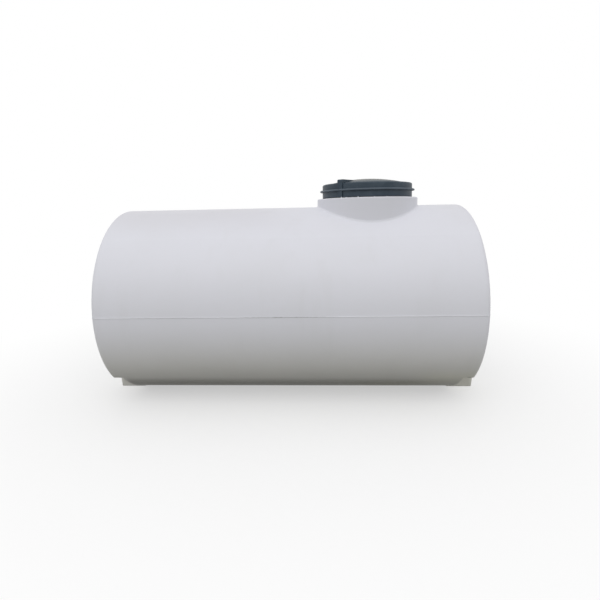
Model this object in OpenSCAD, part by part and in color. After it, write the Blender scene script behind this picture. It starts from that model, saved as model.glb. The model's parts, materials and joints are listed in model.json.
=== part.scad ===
// Horizontal water storage tank: a rotationally moulded polyethylene barrel
// with shallow dished ends, a round manway boss on top with a neck in it, a
// dark lid that screws onto the neck, and one moulded foot under each end.
// Millimetres. X runs along the tank, +Z is up, and the origin is on the
// ground, under the middle of the barrel. The manway is towards +X.

/* [Tank] */
// Outside diameter of the barrel
barrel_d = 1250; // [1100:10:1400]
// Length of the straight barrel, between the knuckles of the two ends
barrel_l = 2250; // [2100:2:2800]
// Wall thickness of the moulding
wall = 10; // [8:0.5:12]
// Depth of a dished end, from its knuckle to its crown
end_depth = 115; // [90:1:130]
// Radius of the knuckle between the barrel and a dished end
knuckle_r = 25; // [20:1:45]
// Gap between the belly of the barrel and the ground
belly_gap = 4; // [2:1:20]

/* [Manway] */
// Distance from the middle of the tank to the axis of the manway
manway_x = 530; // [350:5:600]
// Outside diameter of the boss
boss_d = 676; // [664:2:720]
// Height of the boss's deck above the top of the barrel
boss_h = 53; // [45:1:80]
// Outside diameter of the neck that the lid screws on, without its thread
neck_d = 556; // [552:1:560]
// Height of the neck above the deck
neck_h = 74; // [68:1:76]

/* [Lid] */
// Outside diameter of the lid's skirt
skirt_d = 604; // [602:1:614]
// Outside diameter of the lid's flange
flange_d = 638; // [630:1:655]
// Height of the lid's shoulder above the deck
shoulder_h = 95; // [92:1:104]
// Rise of the lid's crown above its shoulder
crown_rise = 35; // [26:1:45]
// Direction of the first grip lug, counted from +X
lug_angle = -130; // [-180:1:180]

/* [Foot] */
// Length of a foot along the tank, at the ground
foot_l = 175; // [150:5:190]
// Width of a foot across the tank, at the ground
foot_w = 262; // [220:2:340]
// How far a foot stands out past the crown of its end, at the ground
foot_proud = 6; // [0:1:20]
// Height of the flat ledge over a foot, above the ground
ledge_h = 192; // [160:2:200]
// Angle of draft, by which a foot widens upwards
foot_draft = 5; // [0.5:0.5:6]

/* [Hidden] */

$fn = 96;
tiny = 1;                                   // overshoot of a cutting solid
barrel_r = barrel_d / 2;
axis_z = barrel_r + belly_gap;              // height of the barrel's axis
half_l = barrel_l / 2;
end_x = half_l + end_depth;                 // crown of a dished end

// A dished end is a spherical crown of radius crown_r that runs into the
// barrel through a knuckle. crown_edge is the angle of the crown's rim.
crown_edge = 2 * atan((end_depth - knuckle_r) / (barrel_r - knuckle_r));
crown_r = (barrel_r - knuckle_r) / sin(crown_edge) + knuckle_r;

foot_x = end_x + foot_proud - foot_l;       // inner face of a foot
foot_corner = 18;                           // round of its upright edges, at the ground
foot_floor = 12;
foot_mouth = 70;                            // length of the way in through the ledge

// The lower edge of an end is cut back to a slope beside its foot
lip_in = 8;
lip_up = 24;

// Manway heights above the ground
barrel_top = axis_z + barrel_r;
deck_z = barrel_top + boss_h;
boss_r = boss_d / 2;
deck_edge = 9;                              // round of the deck's outer edge
neck_r = neck_d / 2;

// Lid
skirt_r = skirt_d / 2;
skirt_gap = 5;                              // under the skirt, over the deck
skirt_wall = 14;
skirt_bore = skirt_r - skirt_wall;          // leaves room for the threads round the neck
flange_r = flange_d / 2;
flange_z = 50;                              // middle of the flange, over the deck
flange_t = 12;
gasket_t = 8;
gasket_slack = 0.3;                         // so that the lid turns on its gasket
ceiling_z = neck_h + gasket_t + gasket_slack; // underside of the lid, over the deck
shoulder_round = 10;
crown_skin = 8;
crown_rim_r = skirt_r - 34;                 // where the crown rises from the flat shoulder
lid_dome_r = (crown_rim_r * crown_rim_r + crown_rise * crown_rise) / (2 * crown_rise);
lug_w = 36;
lug_r = skirt_r + 7;                        // outer face of a lug
lug_inner_r = 150;
lug_rise = 21;                              // top of a lug, over the shoulder
lug_round = 10;
lug_count = 2;

flash_h = 2;                                // mould flash on the parting line
flash_t = 3;

// ---------------------------------------------------------------- outlines

// Half outline of a dished end: x is the radius, y is along the tank's axis
// from the start of the knuckle. inset is the distance in from the outside.
module end_outline(inset) {
    r = barrel_r - inset;
    knuckle = knuckle_r - inset;
    centre_r = barrel_r - knuckle_r;
    reach = 2 * barrel_r;
    difference() {
        intersection() {
            translate([0, end_depth - crown_r]) circle(r = crown_r - inset, $fn = 720);
            translate([0, -tiny]) square([r, end_depth + 2 * tiny]);
        }
        difference() {
            polygon([
                [centre_r, 0],
                [centre_r + reach * sin(crown_edge), reach * cos(crown_edge)],
                [centre_r + reach, reach * cos(crown_edge)],
                [centre_r + reach, 0]
            ]);
            translate([centre_r, 0]) circle(r = knuckle);
        }
    }
}

// --------------------------------------------------------------- placing

// Turns a solid that was drawn along +Z so that it lies along +X, at the
// height of the barrel's axis
module along_tank() {
    translate([0, 0, axis_z]) rotate([0, 90, 0]) children();
}

// The right end as drawn, or the left end as its mirror image
module at_end(side) {
    mirror([side < 0 ? 1 : 0, 0, 0]) children();
}

module on_deck() {
    translate([manway_x, 0, deck_z]) children();
}

// Everything on one side of the parting line
module half_space(upper) {
    big = 2 * end_x;
    translate([-big, -big, upper ? axis_z : axis_z - big]) cube([2 * big, 2 * big, big]);
}

// ------------------------------------------------------------- tank solids

// The outside of the barrel and both ends, taken in by inset
module tank_form(inset) {
    along_tank() {
        translate([0, 0, -half_l]) cylinder(h = barrel_l, r = barrel_r - inset, $fn = 360);
        for (turn = [0, 180])
            rotate([turn, 0, 0]) translate([0, 0, half_l])
                rotate_extrude($fn = 180) end_outline(inset);
    }
}

// Space that is left free round and over a foot
module foot_recess() {
    for (side = [-1, 1]) at_end(side)
        translate([foot_x, -barrel_r, -tiny]) cube([2 * foot_l, barrel_d, ledge_h + tiny]);
}

// Radius in plan of a crown's sphere, at a height above the ground
function crown_plan_r(z) = sqrt(crown_r * crown_r - (axis_z - z) * (axis_z - z));

// What is taken off the lower edge of the right end, to either side of the
// foot. The cone leaves the sphere lip_up above the ledge.
module lip_cut() {
    edge_r = crown_plan_r(ledge_h) - lip_in;
    slope = (crown_plan_r(ledge_h + lip_up) - edge_r) / lip_up;
    past = 2 * tiny;
    translate([end_x - crown_r, 0, ledge_h]) difference() {
        translate([0, 0, -tiny]) cylinder(h = lip_up + past, r = crown_r, $fn = 360);
        translate([0, 0, -past])
            cylinder(h = lip_up + 2 * past, r1 = edge_r - past * slope,
                r2 = edge_r + (lip_up + past) * slope, $fn = 360);
        translate([0, -foot_w / 2, -past]) cube([2 * crown_r, foot_w, lip_up + 2 * past]);
    }
}

// A slice of the barrel's wall over an eighth of its round. start is the
// angle of its lower edge, from +Y at the back of the tank.
module barrel_slice(start) {
    difference() {
        translate([-half_l, 0, axis_z]) rotate([0, 0, -90]) rotate([90, 0, 180])
            rotate([0, 0, start])
                rotate_extrude(angle = 45, $fn = 360)
                    translate([barrel_r - wall, 0]) square([wall, barrel_l]);
        foot_recess();
        translate([manway_x, 0, axis_z]) cylinder(h = 2 * barrel_r, r = boss_r);
    }
}

module dished_end(side, upper) {
    color("whitesmoke") difference() {
        intersection() {
            at_end(side) along_tank() translate([0, 0, half_l])
                rotate_extrude($fn = 180) intersection() {
                    difference() {
                        end_outline(0);
                        end_outline(wall);
                    }
                    square([barrel_r, end_depth + tiny]);
                }
            half_space(upper);
        }
        foot_recess();
        at_end(side) lip_cut();
    }
}

// Block with round upright edges that widens upwards by the angle of draft.
// size and r are what it measures at its underside.
module drafted_block(size, r, h) {
    grow = h * tan(foot_draft);
    for (sx = [-1, 1], sy = [-1, 1])
        translate([sx * (size[0] / 2 - r), sy * (size[1] / 2 - r), 0]) cylinder(h = h, r1 = r, r2 = r + grow);
    drafted_slab(size[0], size[1] - 2 * r, h, grow);
    rotate([0, 0, 90]) drafted_slab(size[1], size[0] - 2 * r, h, grow);
}

// Slab whose two faces across X lean out by grow
module drafted_slab(size_x, size_y, h, grow) {
    x = size_x / 2;
    translate([0, size_y / 2, 0]) rotate([90, 0, 0]) linear_extrude(size_y)
        polygon([[-x, 0], [x, 0], [x + grow, h], [-x - grow, h]]);
}

// A foot's block from its underside up, taken in by inset all round. It
// reaches into the tank, so that only its outer edges are round.
module foot_block(inset, h) {
    reach = foot_l + 2 * foot_corner;
    translate([end_x + foot_proud - reach / 2, 0, 0])
        drafted_block([reach - 2 * inset, foot_w - 2 * inset], foot_corner - inset, h);
}

// The hollow of a foot, which is open to the tank behind it and over it
module foot_hollow() {
    translate([0, 0, foot_floor]) foot_block(wall, ledge_h - wall - foot_floor);
    translate([foot_x - 2 * wall, wall - foot_w / 2, foot_floor])
        cube([2 * wall + foot_mouth, foot_w - 2 * wall, 2 * ledge_h]);
}

// The wall that closes the recess over a foot: a level ledge over it and an
// upright wall behind it, both trimmed to the form of the tank
module foot_ledge(side) {
    color("whitesmoke") intersection() {
        at_end(side) difference() {
            translate([foot_x - wall, -barrel_r, 0]) cube([foot_l + wall, barrel_d, ledge_h + wall]);
            translate([foot_x, -barrel_r - tiny, -tiny])
                cube([2 * foot_l, barrel_d + 2 * tiny, ledge_h + tiny]);
            foot_hollow();
        }
        tank_form(wall);
    }
}

module foot(side) {
    color("whitesmoke") at_end(side) difference() {
        foot_block(0, ledge_h);
        foot_hollow();
        translate([foot_x - foot_l, -foot_w, -tiny]) cube([foot_l, 2 * foot_w, 2 * ledge_h]);
    }
}

// Plan of the tank at the height of its axis, taken in by inset
module tank_plan(inset) {
    square([barrel_l, barrel_d - 2 * inset], center = true);
    for (side = [-1, 1], half = [0, 1])
        translate([side * half_l, 0]) rotate(-90 * side) mirror([half, 0]) end_outline(inset);
}

// The thin ridge that the mould leaves where its two halves meet
module parting_flash() {
    color("gainsboro") translate([0, 0, axis_z - flash_t / 2]) linear_extrude(flash_t)
        difference() {
            tank_plan(-flash_h);
            tank_plan(0);
        }
}

// ---------------------------------------------------------------- manway

module boss_wall() {
    color("whitesmoke") difference() {
        translate([manway_x, 0, axis_z]) cylinder(h = deck_z - wall - axis_z, r = boss_r);
        translate([manway_x, 0, axis_z - tiny]) cylinder(h = 2 * barrel_r, r = boss_r - wall);
        along_tank() translate([0, 0, -half_l]) cylinder(h = barrel_l, r = barrel_r - wall, $fn = 360);
    }
}

module boss_deck() {
    color("whitesmoke") on_deck() rotate_extrude($fn = 180) difference() {
        union() {
            translate([neck_r, -wall]) square([boss_r - neck_r, wall - deck_edge]);
            translate([neck_r, -deck_edge]) square([boss_r - deck_edge - neck_r, deck_edge]);
            translate([boss_r - deck_edge, -deck_edge]) circle(r = deck_edge);
        }
        translate([0, -wall - deck_edge]) square([boss_r, deck_edge]);
    }
}

module neck() {
    color("whitesmoke") on_deck() difference() {
        translate([0, 0, -wall]) cylinder(h = neck_h + wall, r = neck_r);
        translate([0, 0, -wall - tiny]) cylinder(h = neck_h + 2 * wall, r = neck_r - wall);
    }
}

// ------------------------------------------------------------------ lid

module lid_gasket() {
    color("dimgray") on_deck() translate([0, 0, neck_h]) difference() {
        cylinder(h = gasket_t, r = neck_r);
        translate([0, 0, -tiny]) cylinder(h = gasket_t + 2 * tiny, r = neck_r - 2 * wall);
    }
}

// The lid's outside under its crown: skirt and rounded shoulder
module skirt_outline() {
    translate([0, skirt_gap]) square([skirt_r, shoulder_h - shoulder_round - skirt_gap]);
    translate([0, skirt_gap]) square([skirt_r - shoulder_round, shoulder_h - skirt_gap]);
    translate([skirt_r - shoulder_round, shoulder_h - shoulder_round]) circle(r = shoulder_round);
}

module lid_skirt() {
    color("darkslategray") on_deck() rotate_extrude($fn = 180) difference() {
        skirt_outline();
        square([skirt_bore, ceiling_z]);
        square([crown_rim_r, shoulder_h + tiny]);
    }
}

module lid_flange() {
    color("darkslategray") on_deck() translate([0, 0, flange_z]) rotate_extrude($fn = 180)
        difference() {
            union() {
                translate([0, -flange_t / 2]) square([flange_r - flange_t / 2, flange_t]);
                translate([flange_r - flange_t / 2, 0]) circle(d = flange_t);
            }
            translate([0, -flange_t]) square([skirt_r, 2 * flange_t]);
        }
}

// Solid under the lid's crown, from the deck up
module crown_solid(inset) {
    intersection() {
        cylinder(h = shoulder_h + crown_rise, r = crown_rim_r - inset, $fn = 180);
        translate([0, 0, shoulder_h + crown_rise - lid_dome_r]) sphere(r = lid_dome_r - inset, $fn = 360);
    }
}

module lid_crown() {
    color("slategray") on_deck() difference() {
        crown_solid(0);
        translate([0, 0, -tiny]) cylinder(h = ceiling_z + tiny, r = skirt_r);
        intersection() {
            translate([0, 0, -tiny]) cylinder(h = 2 * shoulder_h, r = neck_r - 3 * wall);
            crown_solid(crown_skin);
        }
    }
}

// Upright grips on the lid's edge, from the foot of the skirt to over the
// shoulder, that run in and die out on the crown
module lid_grip_lugs() {
    color("darkslategray") on_deck() difference() {
        for (i = [0 : lug_count - 1]) rotate([0, 0, lug_angle + i * 360 / lug_count])
            translate([0, lug_w / 2, 0]) rotate([90, 0, 0]) linear_extrude(lug_w) {
                translate([lug_inner_r, skirt_gap])
                    square([lug_r - lug_inner_r, shoulder_h + lug_rise - lug_round - skirt_gap]);
                translate([lug_inner_r, skirt_gap])
                    square([lug_r - lug_round - lug_inner_r, shoulder_h + lug_rise - skirt_gap]);
                translate([lug_r - lug_round, shoulder_h + lug_rise - lug_round]) circle(r = lug_round);
            }
        rotate_extrude($fn = 180) skirt_outline();
        crown_solid(0);
        translate([0, 0, flange_z - flange_t / 2]) cylinder(h = flange_t, r = flange_r);
        translate([0, 0, -tiny]) cylinder(h = shoulder_h + tiny, r = skirt_r - tiny);
    }
}

// ----------------------------------------------------------------- nodes

module barrel_part(start) {
    color("whitesmoke") barrel_slice(start);
}

barrel_part(90);  // barrel_crown_front
barrel_part(45);  // barrel_crown_back
barrel_part(135);  // barrel_shoulder_front
barrel_part(0);  // barrel_shoulder_back
barrel_part(180);  // barrel_bilge_front
barrel_part(-45);  // barrel_bilge_back
barrel_part(225);  // barrel_belly_front
barrel_part(-90);  // barrel_belly_back
dished_end(-1, true);  // left_end_upper
dished_end(-1, false);  // left_end_lower
dished_end(1, true);  // right_end_upper
dished_end(1, false);  // right_end_lower
foot_ledge(-1);  // left_foot_ledge
foot_ledge(1);  // right_foot_ledge
foot(-1);  // left_foot
foot(1);  // right_foot
parting_flash();
boss_wall();
boss_deck();
neck();
lid_gasket();
lid_skirt();
lid_flange();
lid_crown();
lid_grip_lugs();
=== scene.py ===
import json
import math

import bpy
from mathutils import Matrix, Vector


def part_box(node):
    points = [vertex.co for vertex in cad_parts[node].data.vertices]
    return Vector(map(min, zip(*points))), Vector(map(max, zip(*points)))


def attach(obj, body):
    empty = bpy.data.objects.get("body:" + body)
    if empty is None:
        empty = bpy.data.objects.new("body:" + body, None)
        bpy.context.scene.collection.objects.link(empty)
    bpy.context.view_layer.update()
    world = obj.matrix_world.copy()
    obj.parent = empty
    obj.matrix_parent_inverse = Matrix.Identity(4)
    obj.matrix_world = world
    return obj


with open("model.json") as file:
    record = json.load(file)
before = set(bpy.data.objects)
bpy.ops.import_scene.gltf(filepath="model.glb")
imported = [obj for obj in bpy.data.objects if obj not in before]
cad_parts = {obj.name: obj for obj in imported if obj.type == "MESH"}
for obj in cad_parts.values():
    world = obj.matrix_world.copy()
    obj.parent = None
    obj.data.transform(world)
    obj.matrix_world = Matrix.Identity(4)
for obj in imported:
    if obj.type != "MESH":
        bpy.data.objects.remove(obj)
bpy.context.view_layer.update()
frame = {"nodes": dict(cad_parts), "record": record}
nodes = frame["nodes"]
print("frame loaded with", len(nodes), "nodes")

bevelSamples = 6
mergeWithin = 0.00002    # metres


# Shader maths. A Wire is the output of a node, and arithmetic on wires adds Math nodes.
class Wire:
    def __init__(self, paint, socket):
        self.paint = paint
        self.socket = socket

    def math(self, operation, a, b=0.0):
        return self.paint.node("ShaderNodeMath", {"operation": operation}, {0: a, 1: b})

    def __add__(self, other): return self.math("ADD", self, other)
    def __radd__(self, other): return self.math("ADD", other, self)
    def __sub__(self, other): return self.math("SUBTRACT", self, other)
    def __rsub__(self, other): return self.math("SUBTRACT", other, self)
    def __mul__(self, other): return self.math("MULTIPLY", self, other)
    def __rmul__(self, other): return self.math("MULTIPLY", other, self)
    def __truediv__(self, other): return self.math("DIVIDE", self, other)
    def __abs__(self): return self.math("ABSOLUTE", self)

    def atMost(self, other): return self.math("MINIMUM", self, other)
    def atLeast(self, other): return self.math("MAXIMUM", self, other)

    def part(self, name):  # another output of the same node
        return Wire(self.paint, self.socket.node.outputs[name])

    def ramp(self, low, high):  # 0 up to low, 1 from high on, smooth between
        return self.paint.node("ShaderNodeMapRange", {"interpolation_type": "SMOOTHSTEP"},
                               {0: self, 1: low, 2: high, 3: 0.0, 4: 1.0})


# A node tree that is being filled: of a material, or of the world
class Paint:
    def __init__(self, owner, outputType):
        owner.use_nodes = True
        self.owner = owner
        self.tree = owner.node_tree
        self.tree.nodes.clear()
        self.end = self.tree.nodes.new(outputType)

    def node(self, kind, settings=None, values=None, output=0):
        made = self.tree.nodes.new(kind)
        for name, value in (settings or {}).items():
            if name == "stops":
                ramp = made.color_ramp
                while len(ramp.elements) < len(value):
                    ramp.elements.new(0.5)
                for element, (place, level) in zip(ramp.elements, value):
                    element.position = place
                    element.color = (level, level, level, 1.0)
            else:
                setattr(made, name, value)
        for name, value in (values or {}).items():
            if isinstance(value, Wire):
                self.tree.links.new(value.socket, made.inputs[name])
            elif isinstance(value, tuple) and len(value) == 3 and made.inputs[name].type == "RGBA":
                made.inputs[name].default_value = (*value, 1.0)
            else:
                made.inputs[name].default_value = value
        return Wire(self, made.outputs[output])

    def place(self, stretch=(1, 1, 1), shift=(0, 0, 0)):  # where a point is, in metres
        at = self.node("ShaderNodeTexCoord", output="Object")
        values = {"Vector": at, "Scale": stretch, "Location": shift}
        return self.node("ShaderNodeMapping", {}, values)

    def along(self, axis, at):  # one coordinate of a vector
        return self.node("ShaderNodeSeparateXYZ", {}, {0: at}, axis)

    def noise(self, at, scale, detail, rough=0.55):
        values = {"Vector": at, "Scale": scale, "Detail": detail, "Roughness": rough}
        return self.node("ShaderNodeTexNoise", {}, values)

    def mix(self, share, a, b, blend="MIX"):
        settings = {"data_type": "RGBA", "blend_type": blend}
        return self.node("ShaderNodeMix", settings, {0: share, 6: a, 7: b}, 2)

    def mixNormals(self, share, a, b):
        return self.node("ShaderNodeMix", {"data_type": "VECTOR"}, {0: share, 4: a, 5: b}, 1)

    def length(self, at):
        return self.node("ShaderNodeVectorMath", {"operation": "LENGTH"}, {0: at}, "Value")

    def softEdges(self, radius):  # the normal with the moulding's edges rounded
        return self.node("ShaderNodeBevel", {"samples": bevelSamples}, {"Radius": radius})

    def flatNormal(self):  # the normal of a face as it lies, not smoothed
        return self.node("ShaderNodeNewGeometry", output="True Normal")

    def bump(self, height, depth, under=None):
        values = {"Strength": 1.0, "Distance": depth, "Height": height}
        if under is not None:
            values["Normal"] = under
        return self.node("ShaderNodeBump", {}, values)

    def blendShaders(self, share, a, b):
        return self.node("ShaderNodeMixShader", {}, {0: share, 1: a, 2: b})

    def finish(self, shader):
        self.tree.links.new(shader.socket, self.end.inputs["Surface"])
        return self.owner


def newPaint(name):
    return Paint(bpy.data.materials.new(name), "ShaderNodeOutputMaterial")


# Places that the added pieces are set out from, in metres
def reach(name):  # lowest and highest corner of a node
    low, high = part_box(name)
    return Vector(low), Vector(high)


neckLow, neckHigh = reach("neck")
deckLow, deckHigh = reach("boss_deck")
flangeLow, flangeHigh = reach("lid_flange")
bilgeLow, bilgeHigh = reach("barrel_bilge_front")
footLow, footHigh = reach("right_foot")
manway = Vector(((neckLow.x + neckHigh.x) / 2, 0, deckHigh.z))   # on the manway's axis, at the deck
neckRadius = (neckHigh.x - neckLow.x) / 2
bossRadius = (deckHigh.x - deckLow.x) / 2
flangeRadius = (flangeHigh.x - flangeLow.x) / 2
barrelRadius = -bilgeLow.y
barrelHeight = bilgeHigh.z                                       # of the barrel's axis
barrelEnd = bilgeHigh.x
ledgeHigh = footHigh.z


tankFinish = {
    "plastic": (0.736, 0.740, 0.797),
    "lowerTone": (0.745, 0.738, 0.700),    # lower half: a painted warm tint of light bounced up from the ground, partly splash stain
    "lowerToneAt": (0.1, 0.62),            # the heights that it fades between, and so on below
    "paintedBounceLight": (0.845, 0.836, 0.752),  # painted bounce light: lighter and yellower in the lowest part, at the manway's end
    "paintedBounceLightAt": (0.17, 0.29),
    "paintedBounceLightAlong": (0.7, 1.0),        # the places along the tank that it fades between
    "soilAndShade": (0.205, 0.198, 0.158),     # close to the ground: partly soil, partly painted shade of the dark ground under the barrel
    "soilAndShadeAt": (0.115, 0.20),
    "soilAndShadeWander": 0.02,
    "soilAndShadeShare": 0.87,
    "soilAndShadeMargin": 0.02,                # how far it stops short of the feet
    "siltAndShade": (0.235, 0.222, 0.125),     # the same, under the manway's end
    "siltAndShadeAlong": (0.2, 0.9),
    "sparedAlong": (0.62, 1.05),
    "sparedShare": 0.60,                 # how much less there is of it at the manway's end
    "dustAndPaintedLightOnTop": (0.46, 0.43, 0.44),         # darker on top, away from the boss: painted shade, partly settled dust
    "topDustAndShadeAt": (1.06, 1.25),
    "topDustAndShadeShare": 0.26,
    "topDustAndShadeReach": 0.85,                  # this far from the manway's axis it is strongest
    "grime": (0.50, 0.50, 0.45),
    "grimeMost": 0.6,
    "grimeDulls": 0.3,
    "clouds": {"scale": 2.2, "detail": 4.0, "between": (0.45, 0.75), "share": 0.05},
    "runs": {"stretch": (9, 9, 0.7), "scale": 1.0, "detail": 5.0, "rough": 0.6,
             "between": (0.5, 0.75), "share": 0.05},
    "scuffs": {"stretch": (1.2, 1.2, 4), "scale": 3.0, "detail": 6.0, "rough": 0.7,
               "between": (0.58, 0.72), "share": 0.10, "above": 0.2},
    "lowAt": (0.05, 0.55),               # most scuffs and all splashes are this low
    "splash": (0.80, 0.80, 0.76),
    "specks": {"scale": 95.0, "detail": 2.0, "between": (0.66, 0.72), "share": 0.5},
    # painted shadow in the crease where the right ledge's front meets the end
    "corner": {"place": (0.037, -0.450, 0.001), "size": (0.020, 0.040, 0.009),
               "from": 0.35, "share": 0.62},
    "bossFront": 0.89,                   # painted shade: the boss is a little darker, less so at its sides
    "bossSide": 0.96,
    "bossFade": 0.014,
    "bossAt": (1.05, 1.12),
    "roughness": 0.46,
    "specular": 0.35,
    "peel": {"size": 0.006, "detail": 2.0, "depth": 0.00018},    # orange peel of the moulding
    "waves": {"size": 0.35, "detail": 1.0, "depth": 0.0012},     # long waves in the wall
    "edge": 0.008,                       # how round the edges over and of the feet are
    "edgeMargin": (0.03, 0.02),          # how far along from the feet they are
    "ledgeMargin": 0.003,                # how far over the ledges they are
    "skin": (0.0055, 0.0045),            # depth of the barrel's outer skin
    "endMargin": 0.002,
    "poleSize": 0.05,                    # middle of an end, where its facets meet in a point
    "poleFade": 0.02,
}


def tankDirt(paint, look, at, low):  # faint clouds, runs and scuffs
    clouds, runs, scuffs = look["clouds"], look["runs"], look["scuffs"]
    cloudy = paint.noise(at, clouds["scale"], clouds["detail"])
    runny, scuffed = (
        paint.noise(paint.place(form["stretch"]), form["scale"], form["detail"], form["rough"])
        for form in (runs, scuffs))
    dirt = (runny.ramp(*runs["between"]) * runs["share"]
            + cloudy.ramp(*clouds["between"]) * clouds["share"]
            + scuffed.ramp(*scuffs["between"]) * scuffs["share"] * (low + scuffs["above"]))
    return cloudy, dirt


def tankNormal(paint, look, at, height, endward):  # waves, orange peel, and round edges at the feet
    normal = None
    for grain in (look["waves"], look["peel"]):
        texture = paint.noise(at, 1 / grain["size"], grain["detail"])
        normal = paint.bump(texture, grain["depth"], normal)
    fromAxis = paint.length(paint.place((0, 1, 1), (0, 0, -barrelHeight)))
    pastEnd = endward.ramp(barrelEnd, barrelEnd + look["endMargin"])
    outside = fromAxis.ramp(*(barrelRadius - depth for depth in look["skin"])).atLeast(pastEnd)
    atFoot = (endward.ramp(*(footLow.x - margin for margin in look["edgeMargin"]))
              * (1.0 - height.ramp(ledgeHigh, ledgeHigh + look["ledgeMargin"])))
    normal = paint.mixNormals(atFoot * outside, normal, paint.softEdges(look["edge"]))
    pole = (1.0 - fromAxis.ramp(look["poleSize"], look["poleSize"] + look["poleFade"])) * pastEnd
    return paint.mixNormals(pole, normal, paint.flatNormal())


def paintTank(name, look):
    paint = newPaint(name)
    at = paint.place()
    height = paint.along("Z", at)
    along = paint.along("X", at)
    endward = abs(along)
    low = 1.0 - height.ramp(*look["lowAt"])
    clouds, dirt = tankDirt(paint, look, at, low)
    # painted warm tint of ground bounce light over the lower half, partly splash stain
    colour = paint.mix(1.0 - height.ramp(*look["lowerToneAt"]), look["plastic"], look["lowerTone"])
    # painted light bounced up from the ground, low at the manway's end
    paintedBounceLight = (1.0 - height.ramp(*look["paintedBounceLightAt"])) * along.ramp(*look["paintedBounceLightAlong"])
    colour = paint.mix(paintedBounceLight, colour, look["paintedBounceLight"])

    # Soil and painted shade low under the barrel, and a painted shadow in the ledge's front corner
    edge = height + (clouds - 0.5) * look["soilAndShadeWander"]
    underneath = 1.0 - endward.ramp(footLow.x - look["soilAndShadeMargin"], footLow.x)
    share = look["soilAndShadeShare"] - along.ramp(*look["sparedAlong"]) * look["sparedShare"]
    earthAndShade = paint.mix(along.ramp(*look["siltAndShadeAlong"]), look["soilAndShade"], look["siltAndShade"])
    colour = paint.mix((1.0 - edge.ramp(*look["soilAndShadeAt"])) * underneath * share, colour, earthAndShade)
    colour = paint.mix(dirt.atMost(look["grimeMost"]), colour, look["grime"])
    # painted shadow in the ledge's front corner, in the soil-and-shade colour
    spot = look["corner"]
    spread = tuple(1 / size for size in spot["size"])
    middle = Vector(spot["place"]) + Vector((footLow.x, 0, ledgeHigh))
    away = paint.length(paint.place(spread, tuple(-a * b for a, b in zip(middle, spread))))
    colour = paint.mix((1.0 - away.ramp(spot["from"], 1.0)) * spot["share"], colour, look["soilAndShade"])
    specks = look["specks"]
    speckled = paint.noise(at, specks["scale"], specks["detail"]).ramp(*specks["between"])
    colour = paint.mix(speckled * low * specks["share"], colour, look["splash"])

    # Painted shade, partly dust, on top away from the boss, and painted shade on the boss
    fromManway = paint.length(paint.place((1, 1, 0), (-manway.x, -manway.y, 0)))
    # painted shade, partly dust, on top away from the boss
    dustAndPaintedLight = height.ramp(*look["topDustAndShadeAt"]) * fromManway.ramp(bossRadius, look["topDustAndShadeReach"])
    colour = paint.mix(dustAndPaintedLight * look["topDustAndShadeShare"], colour, look["dustAndPaintedLightOnTop"])
    # painted shade on the boss and just round its foot, deepest at its front
    within = 1.0 - fromManway.ramp(bossRadius, bossRadius + look["bossFade"])
    aside = abs(along - manway.x) / bossRadius
    shade = paint.mix(aside * aside, (look["bossFront"],) * 3, (look["bossSide"],) * 3)
    bossShaded = paint.mix(1.0, colour, shade, "MULTIPLY")
    colour = paint.mix(within * height.ramp(*look["bossAt"]), colour, bossShaded)
    shader = paint.node("ShaderNodeBsdfPrincipled", {}, {
        "Base Color": colour,
        "Roughness": look["roughness"] + dirt * look["grimeDulls"],
        "Normal": tankNormal(paint, look, at, height, endward),
        "Specular IOR Level": look["specular"]})
    return paint.finish(shader)


footFinish = {
    **tankFinish,
    "lowerTone": (0.885, 0.875, 0.815),    # painted light: lighter, as the foot stands clear of the barrel and takes the ground's bounce
}


flashFinish = {
    # painted light: lighter than the tank's plastic, to offset the shade under the flash's ridge
    "plastic": (0.84, 0.845, 0.89),
    # painted shade along the seam under the ridge, with some dirt: its colour, share and spread
    # along the tank
    "dirt": (0.20, 0.20, 0.19),
    "shadeAndDirtShare": 0.7,
    "shadeAndDirtAlong": ((0.0, 0.05), (0.13, 0.10), (0.19, 0.36), (0.30, 0.32), (0.38, 0.25),
                  (0.45, 0.60), (0.50, 0.85), (0.54, 0.70), (0.58, 0.45), (0.63, 0.0),
                  (0.72, 0.0), (0.82, 0.20), (1.0, 0.20)),
    "reach": 2.6,         # length that the places of the painted shade and dirt are counted along
    "fine": {"scale": 40.0, "detail": 4.0, "between": (0.3, 0.7), "least": 0.6, "more": 0.7},
    "roughness": 0.6,
}


def paintFlash(look):
    paint = newPaint("partingFlash")
    at = paint.place()
    along = paint.along("X", at) / look["reach"] + 0.5
    # painted shade along the seam, with some dirt
    shadeAndDirtCaught = paint.node("ShaderNodeValToRGB", {"stops": look["shadeAndDirtAlong"]}, {0: along})
    fine = look["fine"]
    broken = paint.noise(at, fine["scale"], fine["detail"]).ramp(*fine["between"])
    share = shadeAndDirtCaught * look["shadeAndDirtShare"] * (broken * fine["more"] + fine["least"])
    colour = paint.mix(share, look["plastic"], look["dirt"])
    shader = paint.node("ShaderNodeBsdfPrincipled", {}, {
        "Base Color": colour, "Roughness": look["roughness"]})
    return paint.finish(shader)


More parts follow.
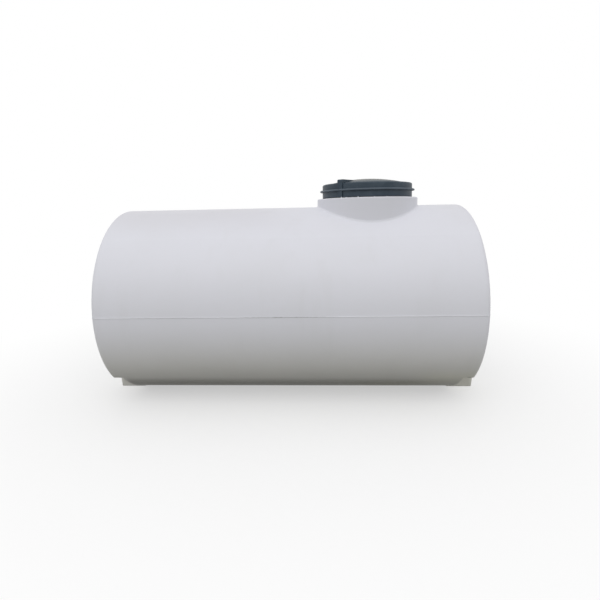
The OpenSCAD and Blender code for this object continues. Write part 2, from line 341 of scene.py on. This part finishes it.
lidFinish = {
    "plastic": (0.028, 0.046, 0.066),
    "bloom": (0.060, 0.084, 0.108),
    "clouds": {"scale": 14.0, "detail": 5.0, "rough": 0.6, "between": (0.4, 0.75), "share": 0.6},
    "rimHighlight": (0.108, 0.135, 0.167),     # painted highlight on the flange's rim, where it catches the sky
    "rimHighlightDepth": (0.006, 0.001),
    "rimHighlightLeast": 0.35,
    "rimHighlightMore": 0.6,
    # the crown's top is lighter: partly dust, partly painted sky reflection
    "dustAndPaintedLight": (0.238, 0.233, 0.203),
    "crownDustAndSheenAt": (0.16, 0.26),              # from the manway's axis, where it fades out
    "crownDustAndSheenLeast": 0.45,
    "crownDustAndSheenMore": 0.4,
    "crownDustAndSheenClouds": (0.3, 0.7),
    "specks": {"scale": 160.0, "detail": 3.0, "between": (0.6, 0.8), "share": 0.05},
    "roughness": 0.42,
    "roughnessMore": 0.15,
    "specular": 0.35,
    "grain": {"size": 0.0025, "detail": 2.0, "depth": 0.00012},
    "edge": 0.0015,
}


def paintLid(name, look, dustAndPaintedLightOnTop):  # the last argument is how much dust and painted sky reflection there is on its top, up to 1
    paint = newPaint(name)
    at = paint.place()
    clouds, specks = look["clouds"], look["specks"]
    cloudy = paint.noise(at, clouds["scale"], clouds["detail"], clouds["rough"])
    speckled = paint.noise(at, specks["scale"], specks["detail"]).ramp(*specks["between"])
    bloomed = cloudy.ramp(*clouds["between"]) * clouds["share"]
    colour = paint.mix(bloomed, look["plastic"], look["bloom"])
    fromManway = paint.length(paint.place((1, 1, 0), (-manway.x, -manway.y, 0)))
    # painted highlight along the flange's rim
    rim = fromManway.ramp(*(flangeRadius - depth for depth in look["rimHighlightDepth"]))
    rimHighlight = rim * (look["rimHighlightLeast"] + cloudy * look["rimHighlightMore"])
    colour = paint.mix(rimHighlight, colour, look["rimHighlight"])
    # dust, and painted sky reflection, on the crown's top
    crownAmount = cloudy.ramp(*look["crownDustAndSheenClouds"]) * look["crownDustAndSheenMore"] + look["crownDustAndSheenLeast"]
    dustAndSheenShare = dustAndPaintedLightOnTop * (1.0 - fromManway.ramp(*look["crownDustAndSheenAt"])) * crownAmount
    colour = paint.mix(speckled * specks["share"] + dustAndSheenShare, colour, look["dustAndPaintedLight"])
    grain = look["grain"]
    texture = paint.noise(at, 1 / grain["size"], grain["detail"])
    shader = paint.node("ShaderNodeBsdfPrincipled", {}, {
        "Base Color": colour,
        "Roughness": look["roughness"] + cloudy * look["roughnessMore"],
        "Normal": paint.bump(texture, grain["depth"], paint.softEdges(look["edge"])),
        "Specular IOR Level": look["specular"]})
    return paint.finish(shader)


gasketFinish = {
    "rubber": (0.022, 0.022, 0.024),
    "bloom": (0.07, 0.07, 0.07),
    "clouds": {"scale": 30.0, "detail": 4.0, "between": (0.45, 0.8), "share": 0.5},
    "roughness": 0.7,
    "grainDepth": 0.0003,
    "edge": 0.001,
}


def paintGasket(look):
    paint = newPaint("gasketRubber")
    clouds = look["clouds"]
    cloudy = paint.noise(paint.place(), clouds["scale"], clouds["detail"])
    bloomed = cloudy.ramp(*clouds["between"]) * clouds["share"]
    colour = paint.mix(bloomed, look["rubber"], look["bloom"])
    shader = paint.node("ShaderNodeBsdfPrincipled", {}, {
        "Base Color": colour, "Roughness": look["roughness"],
        "Normal": paint.bump(cloudy, look["grainDepth"], paint.softEdges(look["edge"]))})
    return paint.finish(shader)


finishes = {
    "tank_white": paintTank("tankPlastic", tankFinish),
    "flash_grey": paintFlash(flashFinish),
    "lid_grey": paintLid("lidPlastic", lidFinish, 0.0),
    "gasket_black": paintGasket(gasketFinish),
}
slotOf = {part["node"]: part["material_slot"] for part in frame["record"]["subparts"]}
for name, node in nodes.items():
    node.data.materials.clear()
    node.data.materials.append(finishes[slotOf[name]])
# the crown gets dust and painted sky reflection on its top
nodes["lid_crown"].data.materials[0] = paintLid("lidCrownPlastic", lidFinish, 1.0)
# painted light: the feet get a lighter copy of the tank's plastic
litFootPlastic = paintTank("litFootPlastic", footFinish)
for foot in ("left_foot", "right_foot"):
    nodes[foot].data.materials[0] = litFootPlastic
print("materials painted on", len(nodes), "nodes")


def startPiece(name, add, **size):  # a primitive, open in edit mode
    bpy.ops.object.select_all(action="DESELECT")
    add(**size)
    piece = bpy.context.object
    piece.name = name
    bpy.ops.object.mode_set(mode="EDIT")
    return piece


def pickPoints(test):  # in edit mode, selects the points whose place passes the test
    bpy.ops.mesh.select_mode(type="VERT")
    bpy.ops.mesh.select_all(action="DESELECT")
    bpy.ops.object.mode_set(mode="OBJECT")
    for point in bpy.context.object.data.vertices:
        point.select = bool(test(point.co))
    bpy.ops.object.mode_set(mode="EDIT")


def bevelPiece(piece, width, segments, sharp):
    edges = piece.modifiers.new("edges", "BEVEL")
    edges.width = width
    edges.segments = segments
    edges.limit_method = "ANGLE"
    edges.angle_limit = math.radians(sharp)
    bpy.ops.object.modifier_apply(modifier="edges")


def closePiece(smooth):  # merges doubles, turns faces outwards and smooths all but sharp edges
    bpy.ops.object.mode_set(mode="EDIT")
    bpy.ops.mesh.select_all(action="SELECT")
    bpy.ops.mesh.remove_doubles(threshold=mergeWithin)
    bpy.ops.mesh.normals_make_consistent(inside=False)
    bpy.ops.object.mode_set(mode="OBJECT")
    bpy.ops.object.shade_smooth_by_angle(angle=math.radians(smooth))


def settlePiece(piece, body, slot):  # its place goes into its mesh, and it rides on a body
    bpy.ops.object.select_all(action="DESELECT")
    piece.select_set(True)
    bpy.context.view_layer.objects.active = piece
    bpy.ops.object.transform_apply(location=True, rotation=True, scale=True)
    piece.data.materials.append(finishes[slot])
    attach(piece, body)


threadForm = {
    "pitch": 0.024,
    "root": 0.010,        # width of the ridge at its wall
    "crest": 0.006,
    "height": 0.007,
    "bite": 0.003,        # how deep it is rooted in its wall
    "soft": 0.0012,
    "softSteps": 2,
    "sharp": 35,          # degrees
    "smooth": 30,
    "steps": 96,          # sections in a turn
    "fade": 9,            # sections over which each end runs out
    "sink": 0.001,        # how deep the crest ends up in its wall
    "catch": 0.6,         # of the crest's width, to pick one section's crest by
    "onNeck": {"turns": 2.0, "start": 0.014},
    "inLid": {"turns": 1.25, "start": 0.026, "gap": 0.010},
}


def makeThread(name, look, turns, start, wall, side):  # side is 1 for outwards, -1 for inwards
    centre = (0, 0, 0)
    sections = round(turns * look["steps"])
    middle = wall + side * (look["height"] - look["bite"]) / 2
    crest = wall + side * look["height"]
    piece = startPiece(name, bpy.ops.mesh.primitive_plane_add, size=1)
    bpy.ops.transform.rotate(value=math.pi / 2, orient_axis="X", center_override=centre)
    size = (look["height"] + look["bite"], 1, look["root"])
    bpy.ops.transform.resize(value=size, center_override=centre)
    bpy.ops.transform.translate(value=(middle, 0, 0))
    pickPoints(lambda at: side * (at.x - middle) > 0)
    taper = (1, 1, look["crest"] / look["root"])
    bpy.ops.transform.resize(value=taper, center_override=(middle, 0, 0))
    bpy.ops.mesh.select_all(action="SELECT")
    bpy.ops.mesh.delete(type="ONLY_FACE")
    bpy.ops.object.mode_set(mode="OBJECT")
    winding = piece.modifiers.new("winding", "SCREW")
    winding.axis = "Z"
    winding.angle = turns * 2 * math.pi
    winding.screw_offset = turns * look["pitch"]
    winding.steps = winding.render_steps = sections
    bpy.ops.object.modifier_apply(modifier="winding")
    bpy.ops.object.mode_set(mode="EDIT")
    bpy.ops.mesh.select_all(action="SELECT")
    bpy.ops.mesh.fill_holes(sides=0)

    # Both ends run out: the crest sinks into the wall
    step = 2 * math.pi / look["steps"]
    for k in range(look["fade"]):
        full = look["height"] + look["sink"]
        rise = full * math.sin(math.pi / 2 * k / look["fade"]) - look["sink"]
        level = wall + side * rise
        for count in (k, sections - k):
            turn = count * step
            climb = count / look["steps"] * look["pitch"]
            spot = Vector((crest * math.cos(turn), crest * math.sin(turn), climb))
            pickPoints(lambda at: (at - spot).length < look["catch"] * look["crest"])
            sinking = (level / crest, level / crest, 1)
            bpy.ops.transform.resize(value=sinking, center_override=centre)
    bpy.ops.object.mode_set(mode="OBJECT")
    bevelPiece(piece, look["soft"], look["softSteps"], look["sharp"])
    closePiece(look["smooth"])
    piece.location = manway + Vector((0, 0, start))
    return piece


onNeck, inLid = threadForm["onNeck"], threadForm["inLid"]
lidWall = neckRadius + inLid["gap"]
neckThread = makeThread(
    "neckThread", threadForm, onNeck["turns"], onNeck["start"], neckRadius, 1)
settlePiece(neckThread, "tank", "tank_white")
lidThread = makeThread(
    "lidThread", threadForm, inLid["turns"], inLid["start"], lidWall, -1)
settlePiece(lidThread, "lid", "lid_grey")
print("threads cut on the neck and in the lid")


filletForm = {
    "radius": 0.012,      # hollow round between the boss and the barrel
    "sides": 240,
    "steps": 6,
    "bury": 0.004,        # how deep its back lies in the walls
    "lap": 0.0002,        # how far its edges lie in the walls
    "smooth": 50,
}


def makeFillet(look):
    axis = (manway.x, manway.y, 0)
    back = bossRadius - look["bury"]
    inner = bossRadius - look["lap"]
    piece = startPiece("bossFillet", bpy.ops.mesh.primitive_circle_add, vertices=look["sides"],
                       radius=back, fill_type="NOTHING", location=axis)
    radius = back
    for k in range(look["steps"] + 1):
        wider = inner + look["radius"] * (1 - math.cos(math.pi / 2 * k / look["steps"]))
        widening = (wider / radius, wider / radius, 1)
        bpy.ops.mesh.extrude_edges_move()
        bpy.ops.transform.resize(value=widening, center_override=axis)
        radius = wider
    pickPoints(lambda at: at.xy.length < back + look["lap"] or at.xy.length > radius - look["lap"])
    bpy.ops.mesh.bridge_edge_loops()
    bpy.ops.object.mode_set(mode="OBJECT")
    for point in piece.data.vertices:  # laid on the barrel, hollow side up
        ground = barrelHeight + math.sqrt(barrelRadius ** 2 - point.co.y ** 2)
        out = point.co.xy.length - inner
        if out < -look["bury"] / 2:
            point.co.z = ground - look["bury"]
        else:
            left = max(look["radius"] - out, 0.0)
            drop = math.sqrt(max(look["radius"] ** 2 - left ** 2, 0.0))
            point.co.z = ground + look["radius"] - drop - look["lap"]
    closePiece(look["smooth"])
    return piece


settlePiece(makeFillet(filletForm), "tank", "tank_white")
print("fillet laid round the boss")


nibForm = {
    "size": (0.009, 0.008, 0.0055),    # along the deck's edge, across it, and up
    "root": 0.002,                     # how deep it stands in the deck
    "taper": 0.62,
    "soft": 0.0012,
    "softSteps": 3,
    "sharp": 20,                       # degrees
    "smooth": 45,
    "ring": 0.321,                     # from the manway's axis to the middle of a nib
    "turns": (-36, -30, -16, 2, 16),   # degrees from the front, and again at the back
    "small": (-30, 2, 16),             # those that are lower
    "lower": 0.5,
}


def makeNib(look):
    long, wide, tall = look["size"]
    piece = startPiece("deckNibs", bpy.ops.mesh.primitive_cube_add, size=1)
    bpy.ops.transform.resize(value=(wide, long, tall + look["root"]), center_override=(0, 0, 0))
    bpy.ops.transform.translate(value=(look["ring"], 0, (tall - look["root"]) / 2))
    pickPoints(lambda at: at.z > 0)
    taper = (look["taper"], look["taper"], 1)
    bpy.ops.transform.resize(value=taper, center_override=(look["ring"], 0, 0))
    bpy.ops.object.mode_set(mode="OBJECT")
    bevelPiece(piece, look["soft"], look["softSteps"], look["sharp"])
    closePiece(look["smooth"])
    return piece


def makeNibs(look):
    first = makeNib(look)
    for half in (0, 180):
        for turn in look["turns"]:
            nib = first.copy()
            nib.data = first.data.copy()
            bpy.context.scene.collection.objects.link(nib)
            nib.rotation_euler.z = math.radians(turn - 90 + half)
            nib.scale.z = look["lower"] if turn in look["small"] else 1.0
            nib.location = manway
            nib.select_set(True)
    bpy.context.view_layer.objects.active = nib
    first.select_set(False)
    bpy.data.objects.remove(first)
    bpy.ops.object.join()
    bpy.context.object.name = "deckNibs"
    return bpy.context.object


settlePiece(makeNibs(nibForm), "tank", "tank_white")
print("nibs set on the deck")


studio = {
    "floorRadius": 40.0,
    "floorSides": 96,
    "floorSeen": (0.97, 0.97, 0.97),
    "floorGlow": 0.5,                  # share of plain white in the middle; the rest is shaded
    "floorGlowAt": (1.2, 3.2),         # distances between which that share goes up to 1
    "floorBounce": (0.315, 0.315, 0.285),
    "floorShade": (0.0, 0.0, 0.0),     # bounce under and close to the tank
    "floorShadeTo": (0.57, 0.67),
    "white": (1.0, 1.0, 1.0),
    "skyLevel": 0.778,
    "softbox": {"place": (-0.3, -4.8, 5.6), "target": (0, 0, 0.8),
                "size": (7.0, 4.0), "power": 118.0},
}


def looksDirect(paint):  # 1 for what is seen directly, in a reflection or through something clear
    ray = paint.node("ShaderNodeLightPath", {}, {}, "Is Camera Ray")
    return (ray + ray.part("Is Glossy Ray") + ray.part("Is Transmission Ray")).atMost(1.0)


def makeFloor(look):
    bpy.ops.object.select_all(action="DESELECT")
    bpy.ops.mesh.primitive_circle_add(
        vertices=look["floorSides"], radius=look["floorRadius"], fill_type="NGON")
    floor = bpy.context.object
    floor.name = "studioFloor"
    paint = newPaint("studioFloor")
    at = paint.place()
    beside = abs(paint.along("Y", at))
    pale = paint.node("ShaderNodeBsdfDiffuse", {}, {"Color": look["floorSeen"]})
    white = paint.node("ShaderNodeEmission", {}, {"Color": look["white"], "Strength": 1.0})
    bounce = paint.mix(beside.ramp(*look["floorShadeTo"]), look["floorShade"], look["floorBounce"])
    dull = paint.node("ShaderNodeBsdfDiffuse", {}, {"Color": bounce})
    least = look["floorGlow"]
    glow = paint.length(at).ramp(*look["floorGlowAt"]) * (1 - least) + least
    seen = paint.blendShaders(glow, pale, white)
    floor.data.materials.append(paint.finish(paint.blendShaders(looksDirect(paint), dull, seen)))


def makeSky(look):
    world = bpy.data.worlds.new("studioSky")
    bpy.context.scene.world = world
    paint = Paint(world, "ShaderNodeOutputWorld")
    light, white = (
        paint.node("ShaderNodeBackground", {}, {"Color": look["white"], "Strength": strength})
        for strength in (look["skyLevel"], 1.0))
    paint.finish(paint.blendShaders(looksDirect(paint), light, white))


def makeSoftbox(name, look):
    data = bpy.data.lights.new(name, "AREA")
    data.shape = "RECTANGLE"
    data.size, data.size_y = look["size"]
    data.energy = look["power"]
    lamp = bpy.data.objects.new(name, data)
    bpy.context.scene.collection.objects.link(lamp)
    lamp.location = look["place"]
    aim = Vector(look["target"]) - Vector(look["place"])
    lamp.rotation_euler = aim.to_track_quat("-Z", "Y").to_euler()


eye = {
    "place": (0.1744, -2.9280, 1.2214),
    "turn": 0.0527,       # radians to the left
    "tip": 0.1421,        # radians down
    "roll": -0.0206,
    "lens": 24.847,
    "sensor": 36,
    "farthest": 200,
    "shift": (0.00944, -0.04719),
}


def makeCamera(look):
    turn, tip, roll = look["turn"], look["tip"], look["roll"]
    level = Vector((-math.sin(turn), math.cos(turn), 0))
    right = Vector((math.cos(turn), math.sin(turn), 0))
    ahead = level * math.cos(tip) - Vector((0, 0, math.sin(tip)))
    up = right.cross(ahead)
    sideways = right * math.cos(roll) + up * math.sin(roll)
    upwards = up * math.cos(roll) - right * math.sin(roll)
    data = bpy.data.cameras.new("eye")
    data.sensor_width = look["sensor"]
    data.lens = look["lens"]
    data.shift_x, data.shift_y = look["shift"]
    data.clip_end = look["farthest"]
    camera = bpy.data.objects.new("eye", data)
    bpy.context.scene.collection.objects.link(camera)
    camera.matrix_world = Matrix((
        (sideways.x, upwards.x, -ahead.x, look["place"][0]),
        (sideways.y, upwards.y, -ahead.y, look["place"][1]),
        (sideways.z, upwards.z, -ahead.z, look["place"][2]),
        (0, 0, 0, 1)))
    bpy.context.scene.camera = camera


makeFloor(studio)
makeSky(studio)
makeSoftbox("skySoftbox", studio["softbox"])
makeCamera(eye)
bpy.context.scene.view_settings.view_transform = "Standard"
print("studio ready")
